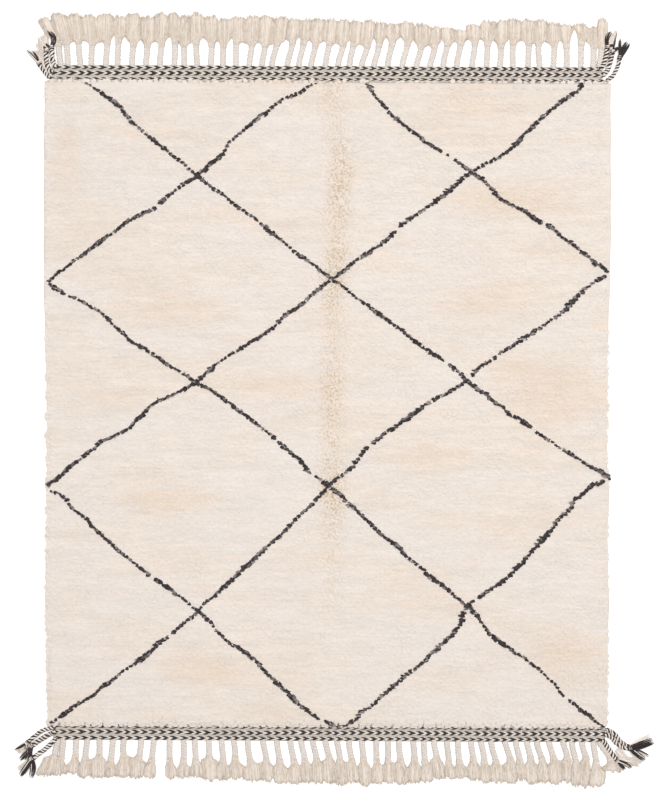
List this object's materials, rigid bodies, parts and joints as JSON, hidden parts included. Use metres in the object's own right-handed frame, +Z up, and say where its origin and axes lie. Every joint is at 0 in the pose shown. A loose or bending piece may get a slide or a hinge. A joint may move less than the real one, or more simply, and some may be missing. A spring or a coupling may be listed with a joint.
{
  "type": "beni ourain rug",
  "caption": "Flat hand-knotted wool rug with a dark open diamond trellis on ivory shag, twined rows at both ends, plaited brush fringe and loose tasselled tails at the corners.",
  "frame": {"origin": "on the floor, under the middle of the rug as it lies, fringes and corner tails counted", "axes": "+X across the rug, +Y along its warps towards the far fringe, +Z up out of the pile"},
  "size_m": [1.7547, 2.1274, 0.0249],
  "materials": {
    "ivory_pile": "undyed ivory wool shag, matt",
    "warp_yarn": "undyed ivory wool warp yarn, plaited and brushed out, matt",
    "charcoal_yarn": "charcoal brown wool yarn, twined with ivory, matt"
  },
  "bodies": {
    "root": {"knotted_field": "ivory_pile", "fringe_far": "warp_yarn", "twining_far_inner": "charcoal_yarn", "twining_far_middle": "charcoal_yarn", "twining_far_outer": "charcoal_yarn", "fringe_near": "warp_yarn", "twining_near_inner": "charcoal_yarn", "twining_near_middle": "charcoal_yarn", "twining_near_outer": "charcoal_yarn"}
  },
  "joints": []
}
